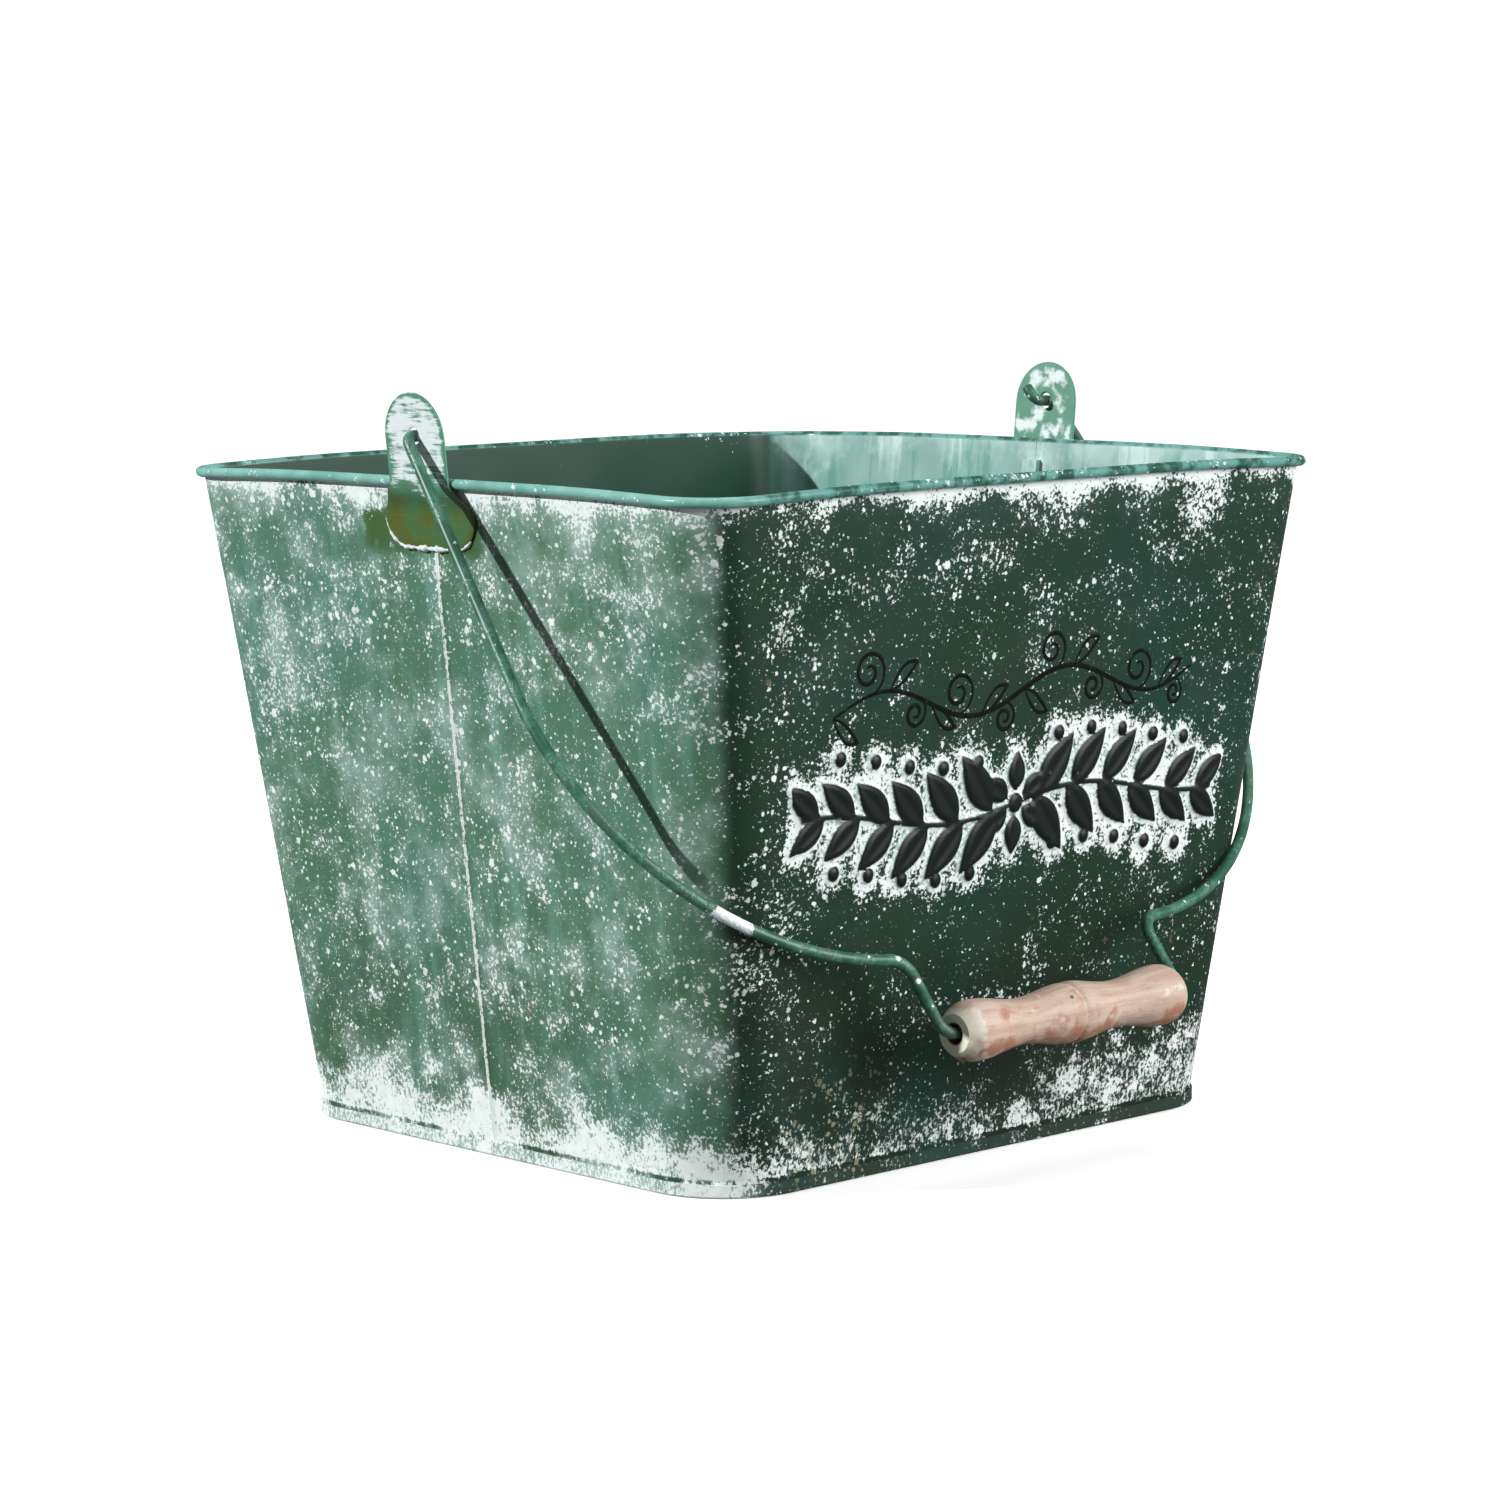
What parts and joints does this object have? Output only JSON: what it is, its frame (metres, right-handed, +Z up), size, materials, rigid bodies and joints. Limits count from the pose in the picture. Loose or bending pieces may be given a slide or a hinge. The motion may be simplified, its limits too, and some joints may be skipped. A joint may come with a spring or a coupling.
{
  "type": "square metal bucket",
  "caption": "Square tapered sheet-metal bucket with a rolled rim, welded ears, a swinging wire bail and a turned wooden grip, in worn green paint with a chalky wash.",
  "frame": {"origin": "middle of the foot, on the surface that the bucket stands on", "axes": "+Z up out of the mouth, +X to the right along the front face, and the front face looks along -Y"},
  "size_m": [0.2652, 0.2423, 0.2075],
  "materials": {
    "painted_sheet": "green paint on steel sheet under a rubbed chalky wash, matt and speckled",
    "washed_ear": "green paint almost covered by a chalky wash",
    "painted_wire": "satin green paint on wire, with worn spots",
    "turned_wood": "bare turned wood, stained by use"
  },
  "bodies": {
    "bucket": {"front_wall": "painted_sheet", "back_wall": "painted_sheet", "base_pan": "painted_sheet", "left_ear": "washed_ear", "right_ear": "washed_ear"},
    "bail": {"bail": "painted_wire"},
    "grip": {"grip": "turned_wood"}
  },
  "joints": [
    {"name": "bail_swing", "type": "hinge", "parent": "bucket", "child": "bail", "pos_m": [0, 0, 0.196], "axis": [-1, 0, 0], "range_deg": [0, 283.2]},
    {"name": "grip_spin", "type": "hinge", "parent": "bail", "child": "grip", "pos_m": [-0.0025, -0.12206, 0.042], "axis": [1, 0, 0], "continuous": true}
  ]
}
